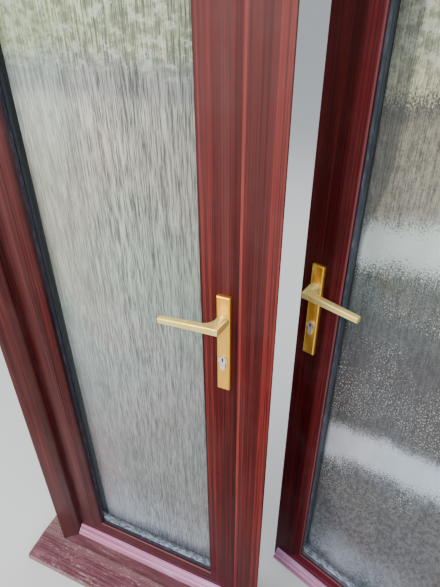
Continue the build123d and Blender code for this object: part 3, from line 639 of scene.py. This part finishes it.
def filmFinish(side, look, own):
    finish = Finish("glass_film_" + side, Specular_IOR_Level=look["gloss"])
    place = finish.leafPlace(side)
    height = finish.part(place, 2)
    across = finish.part(place, 0)
    noises = {name: finish.noise(place, seed=own["seed"] + number, **spec)
              for number, (name, spec) in enumerate(filmNoises.items(), 1)}
    clouds, grain = noises["clouds"], noises["grain"]
    pattern = filmPattern(finish, look, own, noises, height, across)
    tonePlace = (height + (across - look["leanFrom"]) * own["lean"] + finish.sway(clouds, look["cloudSway"])
                 + finish.sway(grain, own["ragged"]))
    # Tones by height: the film's own tone with painted reflections of the surroundings
    tone = finish.ramp(tonePlace * toneUnits, own["tones"])
    # Pale bluish bands on the right film are painted reflections of the sky
    if side == "right":
        paintedLight = finish.level(finish.part(tone, 2), *look["reflectionBlue"])
        pattern = pattern.atLeast(paintedLight * finish.rise(grain, *look["reflectionTone"]))
    dark = own["dark"]
    color = finish.tinted(finish.mix(pattern, (dark, dark, dark, 1), white), tone)
    color = finish.tinted(color, finish.mix(finish.level(noises["hues"], *look["hueReach"]), *own["hues"]))
    # Painted shade: the left film turns greyer towards its lock edge
    greyPlace = across + finish.sway(clouds, look["greySway"])
    color = finish.mix(finish.level(greyPlace, *look["greyReach"]) * own["greyShadeShare"], color, look["greyShade"])
    tufts = finish.level(noises["tufts"], *look["tuftReach"])
    color = finish.tinted(color, finish.mix(tufts, look["tuft"], white))
    # Painted reflection of the garden's leaves high up on the film
    gardenReflection = finish.level(height + finish.sway(clouds, look["gardenReflectionSway"]), *look["gardenReflectionHeights"])
    for reach, share, reflectionColor in look["gardenReflectionTones"]:
        color = finish.mix(finish.level(noises["leaves"], *reach) * gardenReflection * share, color, reflectionColor)
    if side == "right":
        width = finish.level(height, *look["shadeHeights"]) * look["shadeWidth"]
        shade = finish.level(across + width - look["shadeFrom"], -look["shadeSoft"], look["shadeSoft"])
        color = finish.mix(shade * look["shadeShare"], color, look["shade"])
    foot = finish.level(height, *look["footHeights"]) * own["footShare"]
    footPatches = finish.level(finish.blend(grain, clouds, 0.5), *look["footReach"])
    color = finish.mix(footPatches * foot * look["footShare"], color, look["foot"])
    low, high, strength = own["specks"]
    belt = finish.level(height, *look["beltLow"]) * finish.level(height, *look["beltHigh"])
    specks = finish.level(grain, low, high) * finish.level(clouds, *look["speckClouds"]) * belt
    color = finish.mix(specks * strength, color, look["speck"])
    alpha = finish.rise(pattern, own["cover"], look["coverGain"])
    return finish.set(Base_Color=color, Alpha=alpha, Roughness=finish.rise(pattern, *look["rough"]),
                      Normal=finish.bump(pattern, *look["bump"]))


# White bloom along the foot of the outer pane, thinning out upwards
footLook = {
    "gloss": 0.5,
    "patches": {"scale": (70, 70, 110), "seed": 76, "detail": 5, "roughness": 0.7, "distortion": 0.6},
    "grain": {"scale": (420, 420, 420), "seed": 77},
    "heights": (0.272, 0.218),
    "patchReach": (0.42, 0.62),
    "dark": (0.22, 0.27, 0.34, 1),
    "pale": (0.56, 0.62, 0.72, 1),
    "patchShare": 0.6,
    "coverReach": (0.36, 0.62),
    "patchCover": 0.50,
    "cover": 0.38,
    "rough": (0.45, 0.2),
}


def footFinish(side, look):
    finish = Finish("foot_film_" + side, Specular_IOR_Level=look["gloss"])
    place = finish.leafPlace(side)
    patches = finish.noise(place, **look["patches"])
    grain = finish.noise(place, **look["grain"])
    fade = finish.level(finish.part(place, 2), *look["heights"])
    color = finish.mix(finish.level(patches, *look["patchReach"]), look["dark"], look["pale"])
    cover = finish.level(finish.blend(patches, grain, look["patchShare"]), *look["coverReach"])
    alpha = cover * fade * look["patchCover"] + fade * look["cover"]
    return finish.set(Base_Color=color, Alpha=alpha.atMost(1), Roughness=finish.rise(patches, *look["rough"]))


print("glass finishes done")

# Brass: warm plate, paler lever, both satin with faint smudges and grit; the lever's paler, yellower colour is
# partly painted light, the sky caught on its upper faces
brassLook = {
    "smudge": {"scale": (38, 38, 22), "seed": 80, "detail": 4, "roughness": 0.6},
    "brush": {"scale": (900, 900, 60), "seed": 81},
    "grit": {"scale": (700, 700, 700), "seed": 82},
    "smudgeShare": 0.8,
    "wearReach": (0.42, 0.62),
    "gritReach": (0.68, 0.76),
    "gritShare": 0.5,
    "gritColor": (0.20, 0.11, 0.05, 1),
    "smudgeRough": 0.16,
    "brushRough": 0.05,
    "brushShare": 0.7,
    "bump": (0.06, 0.0003),
}
brassKinds = {
    "plate": {"clean": (1.0, 0.60, 0.085, 1), "worn": (1.0, 0.52, 0.065, 1), "rough": 0.30, "metallic": 0.93},
    # The lever's paler colour is partly painted light
    "lever": {"clean": (1.0, 0.85, 0.32, 1), "worn": (1.0, 0.70, 0.18, 1), "rough": 0.28, "metallic": 0.66},
}


def brassFinish(name, look, kind):
    finish = Finish(name, Metallic=kind["metallic"])
    place = finish.place()
    smudge = finish.noise(place, **look["smudge"])
    brush = finish.noise(place, **look["brush"])
    grit = finish.noise(place, **look["grit"])
    wear = finish.level(finish.blend(smudge, brush, look["smudgeShare"]), *look["wearReach"])
    color = finish.mix(wear, kind["clean"], kind["worn"])
    color = finish.mix(finish.level(grit, *look["gritReach"]) * look["gritShare"], color, look["gritColor"])
    roughness = finish.rise(smudge, kind["rough"], look["smudgeRough"]) + brush * look["brushRough"]
    relief = finish.blend(brush, grit, look["brushShare"])
    return finish.set(Base_Color=color, Roughness=roughness, Normal=finish.bump(relief, *look["bump"]))


brass = {kind: brassFinish("brass_" + kind, brassLook, brassKinds[kind]) for kind in ("plate", "lever")}

# Plain metals, each with its own wear
metalLook = {
    "wear": {"seed": 90, "detail": 4, "roughness": 0.6},
    "wearReach": (0.42, 0.66),
    "wearRough": 0.15,
    "fine": {"scale": (800, 800, 800), "seed": 91},
    "bump": (0.05, 0.0002),
}
metalKinds = {
    "nickel": {"clean": (0.86, 0.84, 0.80, 1), "worn": (0.66, 0.62, 0.56, 1), "rough": 0.34,
               "scale": (60, 60, 60), "metallic": 0.75},
    "plated_steel": {"clean": (0.62, 0.62, 0.58, 1), "worn": (0.42, 0.40, 0.36, 1), "rough": 0.32,
                     "scale": (40, 40, 200), "metallic": 1.0},
    "galvanised_steel": {"clean": (0.55, 0.57, 0.58, 1), "worn": (0.38, 0.40, 0.42, 1), "rough": 0.45,
                         "scale": (120, 120, 90), "metallic": 1.0},
}


def wornMetal(finish, place, look, kind):
    wear = finish.noise(place, kind["scale"], **look["wear"])
    color = finish.mix(finish.level(wear, *look["wearReach"]), kind["clean"], kind["worn"])
    return color, finish.rise(wear, kind["rough"], look["wearRough"])


def metalFinish(name, look, kind):
    finish = Finish(name, Metallic=kind["metallic"])
    place = finish.place()
    color, roughness = wornMetal(finish, place, look, kind)
    fine = finish.noise(place, **look["fine"])
    return finish.set(Base_Color=color, Roughness=roughness, Normal=finish.bump(fine, *look["bump"]))


metals = {name: metalFinish(name, metalLook, kind) for name, kind in metalKinds.items()}

# Rubber: near black with a paler bloom; the two glazing gaskets are one rubber, the left darker as painted
# shade, the right paler and glossier as painted reflection
rubberLook = {
    "bloom": {"scale": (45, 45, 30), "seed": 95, "detail": 5, "roughness": 0.6},
    "bloomReach": (0.42, 0.72),
    "fine": {"scale": (900, 900, 500), "seed": 96},
    "rough": (0.42, 0.25),
    "bump": (0.10, 0.0003),
}
rubberKinds = {
    "black_rubber": {"dark": (0.010, 0.011, 0.014, 1), "pale": (0.030, 0.034, 0.042, 1), "gloss": 0.4},
    # One gasket rubber: the left darker as painted shade, the right paler as painted reflection
    "gasket_rubber_left": {"dark": (0.018, 0.016, 0.030, 1), "pale": (0.048, 0.046, 0.070, 1), "gloss": 0.22},
    "gasket_rubber_right": {"dark": (0.040, 0.044, 0.062, 1), "pale": (0.100, 0.108, 0.135, 1), "gloss": 0.35},
}


def rubberFinish(name, look, kind):
    finish = Finish(name, Specular_IOR_Level=kind["gloss"])
    place = finish.place()
    bloom = finish.noise(place, **look["bloom"])
    fine = finish.noise(place, **look["fine"])
    color = finish.mix(finish.level(bloom, *look["bloomReach"]), kind["dark"], kind["pale"])
    return finish.set(Base_Color=color, Roughness=finish.rise(bloom, *look["rough"]),
                      Normal=finish.bump(fine, *look["bump"]))


rubbers = {name: rubberFinish(name, rubberLook, kind) for name, kind in rubberKinds.items()}

# Cylinder plugs: nickel, with painted shadow in and round the keyway, whose sizes are in metres
keywayLook = {
    "halfWidth": 0.0013,
    "halfHeight": 0.0042,
    "soft": 0.0006,
    "rise": 0.0006,
    "share": 0.96,
    "keywayShadow": (0.012, 0.011, 0.010, 1),
}
squareMillimetres = 1e6


def plugFinish(side, look, metal):
    finish = Finish("keyed_nickel_" + side, Metallic=metal["metallic"])
    place = finish.leafPlace(side)
    color, roughness = wornMetal(finish, place, metalLook, metal)
    across = finish.part(place, 0) - leaf["lockX"]
    up = finish.part(place, 2) - (leaf["cylinderZ"] + look["rise"])
    within = [finish.level(offset * offset * squareMillimetres, (half + look["soft"]) ** 2 * squareMillimetres,
                           half ** 2 * squareMillimetres)
              for offset, half in ((across, look["halfWidth"]), (up, look["halfHeight"]))]
    # Painted shadow of the keyway on the plug's face
    color = finish.mix(within[0] * within[1] * look["share"], color, look["keywayShadow"])
    return finish.set(Base_Color=color, Roughness=roughness)


# Sealed edge of the glass unit: bluish grey near the outer pane, darker further in as painted shade (darkest
# high up), a pale seam on the right; the left one is darkened all over as painted shade
spacerLook = {
    "gloss": 0.3,
    "bloom": {"scale": (60, 60, 25), "seed": 93, "detail": 4, "roughness": 0.6},
    "bloomReach": (0.40, 0.66),
    "dark": (0.034, 0.040, 0.054, 1),
    "pale": (0.066, 0.078, 0.094, 1),
    "seamDepth": 0.046,
    "seamReach": 0.0012,
    "seamShare": 0.5,
    "seam": (0.14, 0.15, 0.19, 1),
    "shadeShare": 0.55,
    "shade": (0.012, 0.011, 0.020, 1),
    "turnDepth": {"left": 0.046, "right": 0.055},
    "turnSoft": 0.0008,
    "turnSway": 0.004,
    "lowHeights": (1.1, 0.4),
    "innerShadeHigh": (0.004, 0.005, 0.007, 1),
    "innerShadeLow": (0.034, 0.044, 0.048, 1),
    "rough": (0.45, 0.2),
}


def spacerFinish(side, look):
    finish = Finish("spacer_" + side, Specular_IOR_Level=look["gloss"])
    place = finish.leafPlace(side)
    depth = finish.part(place, 1)
    bloom = finish.noise(place, **look["bloom"])
    color = finish.mix(finish.level(bloom, *look["bloomReach"]), look["dark"], look["pale"])
    if side == "right":
        seam = finish.near(depth, look["seamDepth"], look["seamReach"])
        color = finish.mix(seam * look["seamShare"], color, look["seam"])
    if side == "left":
        color = finish.mix(look["shadeShare"], color, look["shade"])
    turn, soft = look["turnDepth"][side], look["turnSoft"]
    inner = finish.level(depth + finish.sway(bloom, look["turnSway"]), turn - soft, turn + soft)
    low = finish.level(finish.part(place, 2), *look["lowHeights"])
    # Painted shade deeper in the rebate, darkest high up
    color = finish.mix(inner, color, finish.mix(low, look["innerShadeHigh"], look["innerShadeLow"]))
    return finish.set(Base_Color=color, Roughness=finish.rise(bloom, *look["rough"]))


# Brown paint on the hinges, chipped a little
paintLook = {
    "gloss": 0.5,
    "peel": {"scale": (300, 300, 300), "seed": 97, "detail": 3},
    "wear": {"scale": (60, 60, 60), "seed": 98, "detail": 5, "roughness": 0.7},
    "toneReach": (0.40, 0.70),
    "dark": (0.060, 0.018, 0.015, 1),
    "pale": (0.11, 0.040, 0.032, 1),
    "chipReach": (0.74, 0.80),
    "chipShare": 0.6,
    "chip": (0.40, 0.38, 0.36, 1),
    "rough": (0.34, 0.2),
    "bump": (0.15, 0.0004),
}


def paintFinish(look):
    finish = Finish("hinge_paint", Specular_IOR_Level=look["gloss"])
    place = finish.place()
    peel = finish.noise(place, **look["peel"])
    wear = finish.noise(place, **look["wear"])
    color = finish.mix(finish.level(wear, *look["toneReach"]), look["dark"], look["pale"])
    color = finish.mix(finish.level(wear, *look["chipReach"]) * look["chipShare"], color, look["chip"])
    return finish.set(Base_Color=color, Roughness=finish.rise(wear, *look["rough"]),
                      Normal=finish.bump(peel, *look["bump"]))


hingePaint = paintFinish(paintLook)
dress(hingePaint, "frame_hinges")
dress(metals["plated_steel"], "hinge_pins", "keep_left", "keep_right")
dress(metals["galvanised_steel"], "frame_steels")
dress(rubbers["black_rubber"], "frame_seal_left", "frame_seal_right")
for side in ("left", "right"):
    dress(metals["galvanised_steel"], side + "_steels")
    dress(spacerFinish(side, spacerLook), side + "_spacer_bar")
    dress(rubbers["gasket_rubber_" + side], side + "_glazing_gaskets")
    dress(rubbers["black_rubber"], side + "_leaf_seal")
    dress(hingePaint, side + "_leaf_hinges")
    dress(brass["plate"], side + "_outer_backplate", side + "_inner_backplate")
    dress(brass["lever"], side + "_outer_lever", side + "_inner_lever")
    dress(metals["plated_steel"], side + "_spindle", side + "_follower", side + "_lock_case",
          side + "_latch_bolt", side + "_deadbolt")
    dress(metals["nickel"], side + "_cylinder_body")
    dress(plugFinish(side, keywayLook, metalKinds["nickel"]), side + "_cylinder_plugs")
print("metals, rubber and paint done")


# Points given on the shut left leaf, put on the leaf that they belong to. For the right one, x and y about the
# hinge are mirrored and turned by the angle a that it stands ajar: x cos a + y sin a, y cos a - x sin a.
def onLeaf(points, side):
    if side == "left":
        return points
    cosine, sine = math.cos(leaf["ajar"]), math.sin(leaf["ajar"])
    x = -points[..., 0] + leaf["hingeX"]
    y = points[..., 1] - leaf["hingeY"]
    turnedX = x * cosine + y * sine - leaf["hingeX"]
    turnedY = y * cosine - x * sine + leaf["hingeY"]
    return np.stack((turnedX, turnedY, points[..., 2]), -1)


# A piece from one or more grids of points: each row is joined to the next, and the columns may close
def gridPiece(name, points, material, closeColumns=False, flip=False):
    rows, columns = points.shape[-3:-1]
    grids = points.reshape(-1, rows * columns, 3)
    row = np.arange(rows - 1)
    column = np.arange(columns if closeColumns else columns - 1)
    row, column = (index.ravel() for index in np.meshgrid(row, column, indexing="ij"))
    start, after = row * columns, (column + 1) % columns
    faces = np.stack((start + column, start + columns + column, start + columns + after, start + after), -1)
    faces = (faces + np.arange(len(grids))[:, None, None] * rows * columns).reshape(-1, 4)
    if flip:
        faces = faces[:, ::-1]
    mesh = bpy.data.meshes.new(name)
    mesh.from_pydata(points.reshape(-1, 3).tolist(), [], faces.tolist())
    mesh.polygons.foreach_set("use_smooth", [True] * len(mesh.polygons))
    mesh.materials.append(material)
    mesh.update()
    piece = bpy.data.objects.new(name, mesh)
    scene.collection.objects.link(piece)
    return piece


# Films on the glass: flat grids over the sight size, from the foot to a height
filmPlace = {
    "innerY": 0.0586,
    "outerY": 0.0346,
    "innerInset": 0.0002,
    "outerInset": 0.0018,
    "footHeight": 0.066,
    "columns": 9,
    "rows": 17,
}


def glassFilm(side, name, y, inset, height, material):
    edge = leaf["face"] + inset
    low, high = leaf["bottom"] + edge, leaf["bottom"] + leaf["face"] + height
    x = np.linspace(leaf["left"] + edge, leaf["right"] - edge, filmPlace["columns"])
    z = np.linspace(low, high, filmPlace["rows"])
    z, x = np.meshgrid(z, x, indexing="ij")
    points = onLeaf(np.stack((x, np.full_like(x, y), z), -1), side)
    piece = gridPiece(name, points, material, flip=side == "left")
    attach(piece, side + "_leaf")


sightHeight = leaf["top"] - leaf["bottom"] - 2 * leaf["face"] - filmPlace["innerInset"]
for side, own in filmSides.items():
    glassFilm(side, side + "_glass_film", filmPlace["innerY"], filmPlace["innerInset"], sightHeight,
              filmFinish(side, filmLook, own))
    glassFilm(side, side + "_glass_foot_film", filmPlace["outerY"], filmPlace["outerInset"],
              filmPlace["footHeight"], footFinish(side, footLook))
print("films on the glass done")

# Copies of the handles' pieces with their corners rounded a little, so that the edges catch the light
roundingLook = {
    "weld": 0.00002,
    "flat": math.radians(2),
    "sharp": math.radians(28),
    "lever": {"width": 0.0007, "segments": 3},
    "backplate": {"width": 0.0005, "segments": 2},
}


def softened(node, name, body, material, look, kind):
    mesh = nodes[node].data.copy()
    work = bmesh.new()
    work.from_mesh(mesh)
    bmesh.ops.remove_doubles(work, verts=work.verts, dist=look["weld"])
    bmesh.ops.dissolve_limit(work, angle_limit=look["flat"], verts=work.verts, edges=work.edges)
    for face in work.faces:
        face.smooth = True
    work.to_mesh(mesh)
    work.free()
    mesh.materials.clear()
    mesh.materials.append(material)
    piece = bpy.data.objects.new(name, mesh)
    scene.collection.objects.link(piece)
    rounding = piece.modifiers.new("rounding", "BEVEL")
    rounding.width = kind["width"]
    rounding.segments = kind["segments"]
    rounding.limit_method = "ANGLE"
    rounding.angle_limit = look["sharp"]
    rounding.harden_normals = True
    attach(piece, body)
    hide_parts(node)


for side in ("left", "right"):
    for face in ("outer", "inner"):
        softened(f"{side}_{face}_lever", f"{side}_{face}_lever_rounded", side + "_levers",
                 brass["lever"], roundingLook, roundingLook["lever"])
        softened(f"{side}_{face}_backplate", f"{side}_{face}_backplate_rounded", side + "_leaf",
                 brass["plate"], roundingLook, roundingLook["backplate"])
print("handles rounded")

# Screw heads, said for the left side. Each row of a head is a share of its radius and of its rise; the radius
# is fixed along a row, but for the driver's recess, where it is widened and narrowed four times a turn:
# r (1 + lobe cos 4a).
screwLook = {
    "columns": 32,
    "lobe": 0.30,
    "lobes": 4,
    "recess": [(0.02, 0.25), (0.30, 0.25), (0.40, 1.0)],
    "dome": [(0.55, 0.98), (0.78, 0.80), (0.93, 0.50), (1.0, 0.15), (1.0, -0.2)],
    "rise": 0.0013,
}
# The axes of a head that faces inwards, to the post or away from it
screwSides = {
    "inward": ((0, 0, 1), (1, 0, 0), (0, 1, 0)),
    "toPost": ((0, 1, 0), (0, 0, 1), (1, 0, 0)),
    "fromPost": ((0, 0, 1), (0, 1, 0), (-1, 0, 0)),
}
# Rows of screws: the places of a row's screws in x and up from each height, their depth, facing and radius
hingeHeights = (0.303, 1.080, 1.857)
screwRows = {
    "framePlate": {"spots": [(-0.648, -0.036), (-0.648, -0.012), (-0.648, 0.036), (-0.630, 0.014)],
                   "heights": hingeHeights, "y": 0.074, "faces": "inward", "radius": 0.0042},
    "keep": {"spots": [(-0.016, 0)], "heights": (1.076, 1.184), "y": 0.050, "faces": "fromPost",
             "radius": 0.0032},
    "leafPlate": {"spots": [(-0.575, 0.012), (-0.575, 0.036), (-0.575, -0.036), (-0.597, -0.014)],
                  "heights": hingeHeights, "y": 0.089, "faces": "inward", "radius": 0.0042},
    "faceplate": {"spots": [(leaf["right"], 0)], "heights": (1.006, 1.218), "y": 0.050, "faces": "toPost",
                  "radius": 0.0036},
    "handle": {"spots": [(leaf["lockX"], 0)], "heights": (1.005, 1.195), "y": 0.094, "faces": "inward",
               "radius": 0.0040},
}


def screwHeads(look, rowNames):
    angle = np.linspace(0, 2 * math.pi, look["columns"], endpoint=False)
    rows = np.array(look["recess"] + look["dome"])
    lobes = np.where(np.arange(len(rows)) < len(look["recess"]), look["lobe"], 0)
    share = rows[:, :1] * (1 + lobes[:, None] * np.cos(look["lobes"] * angle))
    rise = np.broadcast_to(rows[:, 1:] * look["rise"], share.shape)
    heads = []
    for row in (screwRows[name] for name in rowNames):
        radius = share * row["radius"]
        head = np.stack((radius * np.cos(angle), radius * np.sin(angle), rise), -1)
        head = head @ np.array(screwSides[row["faces"]], float)
        heads += [head + (x, row["y"], height + up) for height in row["heights"] for x, up in row["spots"]]
    return np.array(heads)


def addScrews(name, body, material, rowNames, side):
    points = screwHeads(screwLook, rowNames)
    if body == "frame":
        points = points * ((1, 1, 1) if side == "left" else (-1, 1, 1))
    else:
        points = onLeaf(points, side)
    piece = gridPiece(name, points, material, closeColumns=True, flip=side == "right")
    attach(piece, body)


for side in ("left", "right"):
    addScrews(side + "_frame_screws", "frame", metals["plated_steel"],
              ["framePlate", "keep"], side)
    addScrews(side + "_leaf_screws", side + "_leaf", metals["plated_steel"],
              ["leafPlate", "faceplate"], side)
    addScrews(side + "_handle_screws", side + "_leaf", brass["plate"], ["handle"], side)
print("screws added")

# Floor, sky and soft lamps
floorLook = {
    "size": 500,
    "gloss": 0.2,
    "rough": 0.75,
    "tone": {"scale": (2, 2, 2), "seed": 99, "detail": 4},
    "toneShare": 0.08,
    "pale": (0.74, 0.74, 0.73, 1),
    "dark": (0.62, 0.62, 0.61, 1),
}
skyLook = {"color": (0.80, 0.86, 0.92, 1), "strength": 0.70}
lampLook = {
    "key": {"place": (-1.8, -3.2, 3.8), "aim": (-0.1, 0, 1.0), "size": 2.6, "power": 155,
            "color": (1.0, 0.97, 0.93)},
    "fill": {"place": (2.8, -2.2, 2.6), "aim": (0.1, 0, 1.0), "size": 2.4, "power": 56,
             "color": (0.92, 0.96, 1.0)},
    "top": {"place": (0.0, -0.9, 3.6), "aim": (0.0, 0.0, 1.0), "size": 3.0, "power": 78,
            "color": (0.97, 0.98, 1.0)},
    "back": {"place": (0.6, 3.4, 3.2), "aim": (0, 0, 1.0), "size": 2.4, "power": 60, "color": (1.0, 1.0, 1.0)},
}


def addFloor(look):
    finish = Finish("floor", Specular_IOR_Level=look["gloss"], Roughness=look["rough"])
    tone = finish.noise(finish.place(), **look["tone"])
    material = finish.set(Base_Color=finish.mix(tone * look["toneShare"], look["pale"], look["dark"]))
    edge = np.array((-0.5, 0.5)) * look["size"]
    x, y = np.meshgrid(edge, edge, indexing="ij")
    gridPiece("floor", np.stack((x, y, np.zeros_like(x)), -1), material)


def addSky(look):
    world = bpy.data.worlds.new("sky")
    world.use_nodes = True
    background = world.node_tree.nodes["Background"]
    background.inputs["Color"].default_value = look["color"]
    background.inputs["Strength"].default_value = look["strength"]
    scene.world = world


def addLamp(name, look):
    data = bpy.data.lights.new(name, "AREA")
    data.size = look["size"]
    data.energy = look["power"]
    data.color = look["color"]
    lamp = bpy.data.objects.new(name, data)
    scene.collection.objects.link(lamp)
    direction = (Vector(look["aim"]) - Vector(look["place"])).to_track_quat("-Z", "Y")
    lamp.matrix_world = Matrix.Translation(look["place"]) @ direction.to_matrix().to_4x4()


addFloor(floorLook)
addSky(skyLook)
for name, look in lampLook.items():
    addLamp(name, look)
print("floor and lights done")
